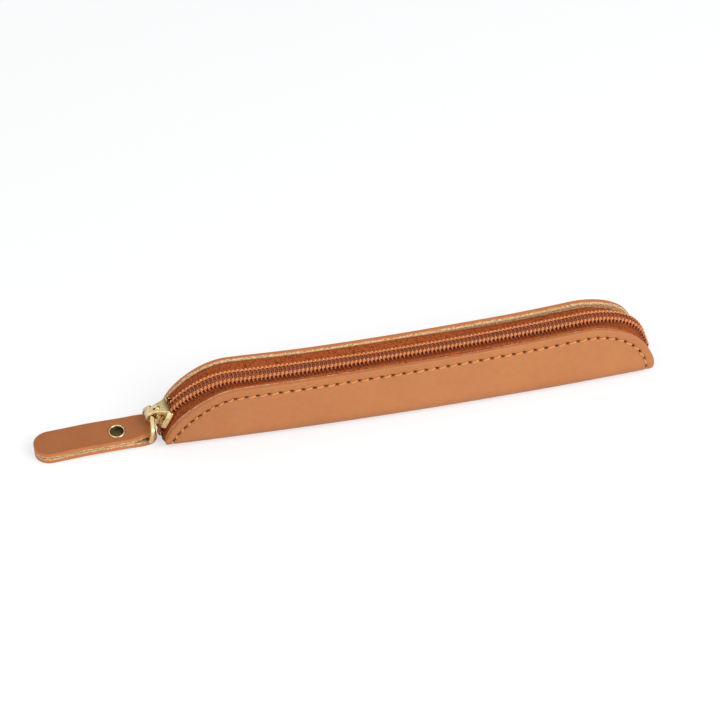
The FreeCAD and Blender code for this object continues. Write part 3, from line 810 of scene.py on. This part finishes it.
metal_group, given, made = new_group(
    "plated_metal",
    [("Place", VECTOR), ("Bright", COLOUR), ("Deep", COLOUR), ("Polished", VALUE), ("Dull", VALUE)],
    [("Colour", COLOUR), ("Roughness", VALUE), ("Height", VALUE)])
net = metal_group
haze = net.noise(given["Place"], 900.0, 4.0)
specks = net.noise(given["Place"], 5200.0, 2.0)
scratches = net.noise(net.stretched(given["Place"], (1.0, 14.0, 3.0)), 600.0, 2.0)
tone = net.math("ADD", net.math("MULTIPLY", haze, 0.7), net.math("MULTIPLY", specks, 0.3))
net.link(net.blend(net.ranged(tone, 0.35, 0.65), given["Deep"], given["Bright"]), made["Colour"])
net.link(net.ranged(haze, 0.3, 0.7, given["Polished"], given["Dull"]), made["Roughness"])
net.link(net.math("ADD", specks, scratches), made["Height"])


def plated_material(name, bright, deep, rough):
    material, net, surface = new_material(name)
    place = net.add("ShaderNodeTexCoord").outputs["Object"]
    plating = net.add("ShaderNodeGroup", {"Place": place, "Bright": bright, "Deep": deep,
                                          "Polished": rough - 0.05, "Dull": rough + 0.07},
                      node_tree=metal_group.tree)
    feed(net, surface, Base_Color=plating.outputs["Colour"], Roughness=plating.outputs["Roughness"],
         Normal=net.bump(plating.outputs["Height"], 0.03, 0.0001))
    surface.inputs["Metallic"].default_value = 1.0
    return material


def add_metal(name, parts, node, body, material):
    piece = add_mesh(name, *joined(parts))
    piece.data.materials.append(material)
    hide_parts(node)
    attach(piece, body)
    return piece


gold = plated_material("pale_gold_plating", linear(236, 214, 168), linear(202, 170, 114), 0.15)
plan = rounded_outline([(-0.0043, -0.0029), (-0.0020, -0.0049), (0.0020, -0.0049), (0.0038, -0.0041),
                        (0.0038, 0.0041), (0.0020, 0.0049), (-0.0020, 0.0049), (-0.0043, 0.0029)],
                       plate_rounding)

# Each level has its radius and how far the plan is drawn in there
top_levels = [(plate_inside, 0.0002), (plate_inside + 0.0002, 0.0), (plate_top - 0.0005, 0.0),
              (plate_top - 0.00022, 0.00012), (plate_top - 0.00006, 0.0003), (plate_top, 0.0006)]
sole_levels = [(sole_bottom, 0.0006), (sole_bottom + 0.0002, 0.0002), (sole_bottom + 0.0005, 0.0),
               (sole_top, 0.0)]
slider_parts = [lofted_plate(plan, top_levels, on_slider), lofted_plate(plan, sole_levels, on_slider)]
flange_corners = np.array([(-0.0031, 0.0037), (-0.0020, 0.00495), (0.0020, 0.00495), (0.0038, 0.0041),
                           (0.0038, 0.0034), (0.0031, 0.0037)])
flange_levels = [(corner_radius - 0.0013, 0.00032), (corner_radius - 0.0011, 0.00016),
                 (corner_radius - 0.0006, 0.00004), (corner_radius + 0.0002, 0.0), (plate_top - 0.0005, 0.0)]
for sign in (-1, 1):
    flange = rounded_outline(flange_corners * (1, sign), flange_rounding)
    slider_parts.append(lofted_plate(flange, flange_levels, on_slider))
wedge = rounded_outline([(-0.0016, -0.0001), (0.0036, -0.0004), (0.0036, 0.0004), (-0.0016, 0.0001)],
                        wedge_rounding)
wedge_levels = [(sole_top - 0.0002, 0.0), (plate_inside + 0.0002, 0.0)]
slider_parts.append(lofted_plate(wedge, wedge_levels, on_slider))
add_metal("zip_slider", slider_parts, "slider_body", "slider", gold)

# Slider cap. A bent strap rises from the whole tail of the top plate, narrows to a crown over the ring
# and goes down at the nose. Two cheeks close its sides over the lock; a stud and the lock's pin hole show
# on its face.

strap_half = 0.0005
strap_narrow = 0.0016
strap_spread = 0.0026
spread_share = 0.42
strap_rounding = 0.0003
detail_steps = 24
detail_across = -0.0004
cheek_outside = 0.00004
cheek_inside = 0.0005
cheek_foot = -0.0008
cheek_top = 0.0017


def square_on_slider(along, across, radius):
    # The slider's straight frame: radius out from the corner's centre through the slider's middle
    side, up = math.sin(slider_angle), math.cos(slider_angle)
    return np.stack(np.broadcast_arrays(-corner_x - radius * up + along * side, across,
                                        corner_z + radius * side + along * up), -1)


def ringed(rings):
    # A closed part made of rings of points, its pattern laid flat from above
    points = np.concatenate(rings)
    return points, ring_faces(len(rings), len(rings[0])), points[:, :2]


strap_curve = bpy.data.curves.new("strap_line", "CURVE")
strap_curve.dimensions = "3D"
strap_spline = strap_curve.splines.new("NURBS")
strap_places = [(0.0037, -0.0009), (0.0032, -0.0001), (0.0020, 0.0014), (0.0004, 0.0033), (-0.0012, 0.0045),
                (-0.0030, 0.0047), (-0.0036, 0.0036), (-0.0036, 0.0018), (-0.0036, -0.0008)]
strap_spline.points.add(len(strap_places) - 1)
for point, (along, rise) in zip(strap_spline.points, strap_places):
    point.co = (along, 0.0, rise, 1.0)
strap_spline.order_u = 3
strap_spline.use_endpoint_u = True
strap_curve.resolution_u = 8
strap_holder = bpy.data.objects.new("strap_line", strap_curve)
strap_mesh = bpy.data.meshes.new_from_object(strap_holder)
strap_line = np.array([(corner.co.x, corner.co.z) for corner in strap_mesh.vertices])
bpy.data.objects.remove(strap_holder)
bpy.data.meshes.remove(strap_mesh)
strap_way = np.gradient(strap_line, axis=0)
strap_way /= np.linalg.norm(strap_way, axis=1)[:, None]
strap_out = np.stack([strap_way[:, 1], -strap_way[:, 0]], -1)
strap_share = np.linspace(0, 1, len(strap_line))
strap_width = strap_narrow + strap_spread * np.clip(1 - strap_share / spread_share, 0, 1) ** 1.2
strap_rings = []
for (along, rise), (out_along, out_rise), wide in zip(strap_line, strap_out, strap_width):
    outline = rounded_outline([(-wide, -strap_half), (wide, -strap_half), (wide, strap_half),
                               (-wide, strap_half)], strap_rounding, 5)
    strap_rings.append(square_on_slider(along + outline[:, 1] * out_along, outline[:, 0],
                                        plate_top + rise + outline[:, 1] * out_rise))


def on_strap(share, profile):
    # A turned detail standing on the strap's outer face
    place = int(share * (len(strap_line) - 1))
    along, rise = strap_line[place]
    out = strap_out[place]
    way = strap_way[place]
    around = np.linspace(0, 2 * math.pi, detail_steps, endpoint=False)
    rings = []
    for radius, height in profile:
        step = radius * np.cos(around)
        rings.append(square_on_slider(along + out[0] * (strap_half + height) + way[0] * step,
                                      detail_across + radius * np.sin(around),
                                      plate_top + rise + out[1] * (strap_half + height) + way[1] * step))
    return ringed(rings)


stud = on_strap(0.28, [(0.00085, -0.0002), (0.00084, 0.00012), (0.00074, 0.00036), (0.0005, 0.00054),
                       (0.00018, 0.00062)])
pin_hole = on_strap(0.345, [(0.00068, -0.0002), (0.00068, 0.00008), (0.00064, 0.00014), (0.00058, 0.00014),
                            (0.00054, 0.00005)])
cheeks = []
cheek_line = [(along, min(rise, cheek_top) if along < 0.0 else rise) for along, rise in strap_line]
for sign in (-1, 1):
    stations = []
    for (along, rise), wide in zip(cheek_line, strap_width):
        outer = sign * (wide - cheek_outside)
        inner = sign * (wide - cheek_inside)
        stations.append(square_on_slider(along, np.array([outer, outer, inner, inner]),
                                         plate_top + np.array([rise, cheek_foot, cheek_foot, rise])))
    cheeks.append(ringed(stations))
strap_parts = [ringed(strap_rings), *cheeks, stud, pin_hole]
strap = add_metal("slider_strap", strap_parts, "slider_cap", "slider", gold)
# The floor of the lock's pin hole is coloured near-black: painted shade for the depth of the hole
strap.data.materials.append(plated_material("lock_pin_hole", linear(70, 54, 30), linear(44, 34, 20), 0.5))
strap.data.polygons[-1].material_index = 1

# Pull ring. One gold wire bent by hand to a loop: narrow in the strap, wide where it carries the tab,
# with a high round shoulder in front and a lower one behind.

ring_eye = np.array(joint_places["ring_swing"])
ring_bar = np.array(joint_places["tab_swing"])
wire_radius = 0.00085
pull_y = 0.0010
eye_half = 0.0028
eye_bend_back = 0.0014
eye_bend_front = 0.0024
ring_way = (ring_eye - ring_bar) / np.linalg.norm(ring_eye - ring_bar)
across = np.array([0.0, 1.0, 0.0])

# Each bend near the tab has its height over the bar, its place across and its radius
ring_bends = [(0.0031, 0.0069, 0.0013), (0.0, 0.0068, 0.0017), (0.0, -0.0076, 0.0024),
              (0.0050, -0.0076, 0.0024)]
ring_corners = [ring_eye + across * (pull_y + eye_half)]
ring_corners += [ring_bar + ring_way * up + across * (pull_y + half) for up, half, _ in ring_bends]
ring_corners.append(ring_eye + across * (pull_y - eye_half))
corner_bends = [eye_bend_back] + [bend for _, _, bend in ring_bends] + [eye_bend_front]
ring_points = []
for k, (here, bend) in enumerate(zip(ring_corners, corner_bends)):
    before = ring_corners[k - 1] - here
    after = ring_corners[(k + 1) % len(ring_corners)] - here
    before /= np.linalg.norm(before)
    after /= np.linalg.norm(after)
    half = math.acos(before.dot(after)) / 2
    middle = (before + after) / np.linalg.norm(before + after)
    centre = here + middle * bend / math.sin(half)
    sweep = math.pi / 2 - half
    way = np.cross(np.cross(middle, before), middle)
    way /= np.linalg.norm(way)
    for angle in np.linspace(sweep, -sweep, 9):
        ring_points.append(centre - middle * bend * math.cos(angle) + way * bend * math.sin(angle))
gold_wire = plated_material("gold_wire", linear(242, 222, 180), linear(212, 182, 130), 0.13)
add_metal("wire_ring", [tube(ring_points, wire_radius, 20, closed=True)], "pull_ring", "ring", gold_wire)

# Pull tab. One strip of the same cowhide folded round the ring, its two layers riveted together flesh to
# flesh. The loose end is rounded, and the layers show tan, pale and tan again along the cut edge.

tab_layer = 0.0019
tab_half = 0.0060
tab_end = -0.13325
end_rounding = 0.0054
fold_clearance = 0.0001
narrowing = 0.28
narrowing_reach = 0.0110
closing_reach = 0.0070
layer_gap = 0.00006
droop_start = 0.0180
droop_reach = 0.0200
droop_depth = 0.00075
parted_height = 0.00010
parted_size = 0.012
parted_end = 0.00014
dent_depth = 0.00025
dent_radius = 0.0028
dent_fade = 0.0008
along_hide = 0.3
rivet_x = ring_bar[0] - 0.0105
rivet_y = pull_y - 0.0006

fold_middle = wire_radius + fold_clearance + tab_layer
flat_run = ring_bar[0] - tab_end
bend_run = math.pi * fold_middle
strip_run = 2 * flat_run + bend_run
across_steps = np.concatenate([[-1, -0.985], np.linspace(-0.96, 0.96, 41), [0.985, 1]])
tab_width = tab_half * across_steps
over = np.clip((np.abs(tab_width) - (tab_half - end_rounding)) / end_rounding, 0, 1)
end_in = end_rounding * (1 - np.sqrt(np.maximum(1 - over**2, 0)))
along_steps = np.linspace(-1, 1, 181)
along_steps = np.sign(along_steps) * (1 - (1 - np.abs(along_steps)) ** 1.25)
strip = strip_run / 2 + along_steps[:, None] * (strip_run / 2 - end_in)
to_fold = smooth_step(1 - np.abs(strip - strip_run / 2) / narrowing_reach, 0, 1)
width = np.broadcast_to(tab_width, strip.shape) * (1 - narrowing * to_fold) + pull_y
lower = strip < flat_run
upper = strip > flat_run + bend_run
angle = np.clip((strip - flat_run) / fold_middle, 0, math.pi) - math.pi / 2
flat_left = np.where(lower, flat_run - strip, np.where(upper, strip - flat_run - bend_run, 0.0))
closing = smooth_step(flat_left, 0, closing_reach)
gap = fold_middle - closing * (fold_middle - tab_layer - layer_gap)
tab_out_x = np.where(lower | upper, 0.0, np.cos(angle))
tab_out_z = np.where(lower, -1.0, np.where(upper, 1.0, np.sin(angle)))
tab_x = ring_bar[0] - flat_left + gap * np.cos(angle) * (flat_left == 0)
tab_z = ring_bar[2] + tab_out_z * gap - droop_depth * smooth_step(flat_left, droop_start, droop_reach)
to_end = np.clip((flat_left - droop_start) / droop_reach, 0, 1)
parted = parted_height * (1 + smooth_bumps(flat_left, width, parted_size, 9)) + parted_end * to_end
tab_z = tab_z + parted * closing * upper
from_rivet = np.hypot(tab_x - rivet_x, width - rivet_y)
dent = dent_depth * np.exp(-((np.maximum(from_rivet, dent_radius) - dent_radius) / dent_fade) ** 2)
tab_outside = np.stack([tab_x, width, tab_z - np.where(upper, dent, 0.0)], -1)
tab_push = np.stack([tab_out_x, 0 * width, tab_out_z], -1)
tab_pattern = np.stack([strip + along_hide, width], -1)
tab = leather_piece("folded_pull_tab", tab_outside, tab_push, tab_layer, tab_pattern, 0 * strip)
# The tab's dye is set darker than the case's, so the tab shows darker than the panels
tab.data.materials.append(leather_material("tan_cowhide_tab", linear(171, 103, 58), linear(202, 122, 70),
                                           raw_leather))
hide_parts("pull_tab")
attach(tab, "tab")

# Rivet. A two-piece brass rivet: a flat cap with a bright rolled rim on the tab, its face painted dark
# as a dark reflection, and a post with its own plate that comes up from underneath and is pressed into the
# cap.

rivet_steps = 64
cap_tip = math.radians(10)
cap_sink = 0.0007
rim_middle = 0.0026
rim_roll = 0.0003
rim_level = 0.0009
face_rise = 0.00128
face_dish = 0.00036
face_radius = 0.0023


def turned(profile, tip=0.0):
    # A profile of radius and height turned about the rivet's axis, which may be tipped to the front
    around = np.linspace(0, 2 * math.pi, rivet_steps, endpoint=False)
    foot = profile[0][1]
    rings = []
    for radius, height in profile:
        back = radius * np.sin(around)
        rise = height - foot
        rings.append(np.stack([rivet_x + radius * np.cos(around),
                               rivet_y + back * math.cos(tip) - rise * math.sin(tip),
                               foot + back * math.sin(tip) + rise * math.cos(tip)], -1))
    return ringed(rings)


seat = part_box("rivet_cap")[0][2] - cap_sink
cap_profile = [(0.0026, seat), (0.0029, seat + 0.0002), (0.0029, seat + 0.0008)]
for angle in np.linspace(0.2, math.pi, 12):
    cap_profile.append((rim_middle + rim_roll * math.cos(angle),
                        seat + rim_level + rim_roll * math.sin(angle)))
rim_rings = len(cap_profile)
for radius in (0.00225, 0.0018, 0.0012, 0.0006):
    cap_profile.append((radius, seat + face_rise - face_dish * (radius / face_radius) ** 2))
rivet_head = add_metal("rivet_head", [turned(cap_profile, cap_tip)], "rivet_cap", "tab", gold_wire)
# Painted reflection: the cap's brass face is coloured dark, as if it mirrored a dark part of the room
dark_reflection_face = plated_material("bronzed_face", linear(94, 82, 52), linear(70, 60, 36), 0.38)
rivet_head.data.materials.append(dark_reflection_face)
for polygon in rivet_head.data.polygons[(rim_rings - 1) * rivet_steps:]:
    polygon.material_index = 1
post_low, post_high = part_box("rivet_post")
low = post_low[2]
post_profile = [(0.0024, low), (0.0028, low + 0.0001), (0.0029, low + 0.0003), (0.0029, low + 0.0007),
                (0.0027, low + 0.00088), (0.0013, low + 0.0009), (0.0013, post_high[2] - 0.0001)]
add_metal("rivet_stem", [turned(post_profile)], "rivet_post", "tab", gold_wire)

# Lock spring. A small leaf of bare spring steel, cut as a plain strip and held under the strap.
# It presses the lock's pin down between the turns of the coil.

steel = plated_material("bare_spring_steel", linear(176, 172, 160), linear(140, 136, 124), 0.28)
spring = frame["nodes"]["lock_spring"]
spring.data.materials.clear()
spring.data.materials.append(steel)

# Floor, light and camera. A sheet of white paper in a pale studio, with two broad soft lamps in front.
# The camera looks down on the front of the case through a long lens.

floor_half = 3.0
floor_corners = [(-floor_half, -floor_half, 0), (floor_half, -floor_half, 0), (floor_half, floor_half, 0),
                 (-floor_half, floor_half, 0)]
white = (1.0, 1.0, 1.0, 1.0)
floor = add_mesh("floor", floor_corners, [(0, 1, 2, 3)])
paper, net, surface = new_material("white_paper")
seen = net.add("ShaderNodeLightPath").outputs
shows = net.math("MAXIMUM", seen["Is Camera Ray"], seen["Is Transmission Ray"])
matt = net.add("ShaderNodeBsdfDiffuse", {"Color": (0.80, 0.80, 0.81, 1.0)})
dim = net.add("ShaderNodeBsdfDiffuse", {"Color": (0.42, 0.42, 0.42, 1.0)})
glow = net.add("ShaderNodeEmission", {"Color": white, "Strength": 0.60})
lit = net.add("ShaderNodeAddShader", {0: dim.outputs[0], 1: glow.outputs[0]})
mixed = net.add("ShaderNodeMixShader", {0: shows, 1: matt.outputs[0], 2: lit.outputs[0]})
net.link(mixed.outputs[0], net.tree.nodes["Material Output"].inputs["Surface"])
floor.data.materials.append(paper)

behind_case = (0.45, 0.68, 0.58)
beside_lens = (0.20, -0.75, 0.63)
studio_wall = (0.55, 0.56, 0.58, 1.0)
studio_dark = (0.08, 0.07, 0.06, 1.0)
world = bpy.data.worlds.new("studio")
bpy.context.scene.world = world
world.use_nodes = True
net = Wiring(world.node_tree)
path = net.add("ShaderNodeLightPath").outputs
sky_way = net.add("ShaderNodeTexCoord").outputs["Generated"]
at_back = net.add("ShaderNodeVectorMath", {0: sky_way, 1: behind_case}, operation="DOT_PRODUCT")
at_lens = net.add("ShaderNodeVectorMath", {0: sky_way, 1: beside_lens}, operation="DOT_PRODUCT")
dark_parts = net.math("MAXIMUM", net.ranged(at_back.outputs["Value"], 0.78, 0.88),
                      net.ranged(at_lens.outputs["Value"], 0.955, 0.985))
mirrored = net.blend(dark_parts, white, studio_dark)
unseen = net.blend(path["Is Glossy Ray"], studio_wall, mirrored)
net.link(net.blend(path["Is Camera Ray"], unseen, white), world.node_tree.nodes["Background"].inputs["Color"])

lamp_size = 0.8


def soft_box(name, place, watts):
    # A square lamp that points at the middle of the case's base
    lamp = bpy.data.lights.new(name, "AREA")
    lamp.shape = "RECTANGLE"
    lamp.size = lamp_size
    lamp.size_y = lamp_size
    lamp.energy = watts
    holder = bpy.data.objects.new(name, lamp)
    bpy.context.scene.collection.objects.link(holder)
    holder.location = place
    holder.rotation_euler = (-Vector(place)).to_track_quat("-Z", "Y").to_euler()


soft_box("key", (0.55, -0.70, 0.80), 8.9)
soft_box("fill", (-0.7, -0.5, 0.9), 2.5)

look_at = Vector((-0.01478, 0.01053, 0.010))
turn = math.radians(14.58)
tilt = math.radians(40)
away = 0.680
camera_data = bpy.data.cameras.new("camera")
camera_data.sensor_width = 36.0
camera_data.lens = 94.9
camera_data.clip_start = 0.01
camera = bpy.data.objects.new("camera", camera_data)
bpy.context.scene.collection.objects.link(camera)
camera.location = look_at + away * Vector((-math.cos(tilt) * math.sin(turn), -math.cos(tilt) * math.cos(turn),
                                           math.sin(tilt)))
camera.rotation_euler = (look_at - camera.location).to_track_quat("-Z", "Y").to_euler()
bpy.context.scene.camera = camera
bpy.context.scene.view_settings.view_transform = "Standard"
